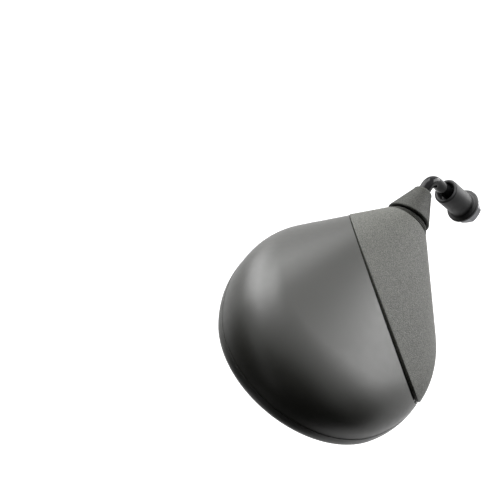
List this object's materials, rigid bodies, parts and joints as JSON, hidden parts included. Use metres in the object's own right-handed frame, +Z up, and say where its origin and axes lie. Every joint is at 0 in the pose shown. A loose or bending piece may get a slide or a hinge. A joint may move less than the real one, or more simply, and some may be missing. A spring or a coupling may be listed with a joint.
{
  "type": "motorcycle mirror",
  "caption": "Right-hand rear-view mirror with a teardrop head that swivels on a ball joint at the end of a short bent stem.",
  "frame": {"origin": "centre of the seat of the coupling nut, on the axis of the thread that fastens the mirror", "axes": "+Z up along the thread axis, -Y towards the rider, +X outwards to the rider's right"},
  "size_m": [0.1861, 0.1297, 0.171],
  "materials": {
    "satin_black": "satin",
    "grained_black": "fine grain",
    "mirror": "polished",
    "foam": "matte foam",
    "inner_plastic": "moulded",
    "liner": "smooth",
    "zinc_steel": "zinc plated",
    "black_stem": "gloss black",
    "black_nut": "matte black",
    "rubber": "matte"
  },
  "bodies": {
    "stem": {"stem": "black_stem", "neck_cone": "grained_black", "ball": "zinc_steel", "retaining_pin": "zinc_steel", "coupling_nut": "black_nut", "lock_nut": "zinc_steel", "lock_washer": "zinc_steel"},
    "liner": {"ball_liner": "liner"},
    "gaiter": {"gaiter": "grained_black"},
    "head": {"main_shell": "satin_black", "base_shell": "grained_black", "rim": "satin_black", "glass_frame": "satin_black", "mirror_glass": "mirror", "glass_pad": "foam", "carrier_plate": "inner_plastic", "shell_screws": "zinc_steel", "ball_socket": "inner_plastic", "socket_screws": "zinc_steel", "socket_cap": "inner_plastic", "clamp_spring": "zinc_steel", "spring_plate": "zinc_steel", "clamp_screws": "zinc_steel"},
    "boot": {"boot": "rubber"}
  },
  "joints": [
    {"name": "head_roll", "type": "hinge", "parent": "stem", "child": "liner", "pos_m": [0.03085, -0.02948, 0.06082], "axis": [-0.7027, 0.6715, -0.2351], "range_deg": [-25, 25]},
    {"name": "head_pan", "type": "hinge", "parent": "liner", "child": "gaiter", "pos_m": [0.03085, -0.02948, 0.06082], "axis": [0.5475, 0.2993, -0.7815], "range_deg": [-6, 6]},
    {"name": "head_tilt", "type": "hinge", "parent": "gaiter", "child": "head", "pos_m": [0.03085, -0.02948, 0.06082], "axis": [0.4544, 0.6779, 0.5779], "range_deg": [0, 16]},
    {"name": "boot_slide", "type": "slide", "parent": "stem", "child": "boot", "axis": [0, 0, 1], "range_m": [0, 0.009]}
  ]
}
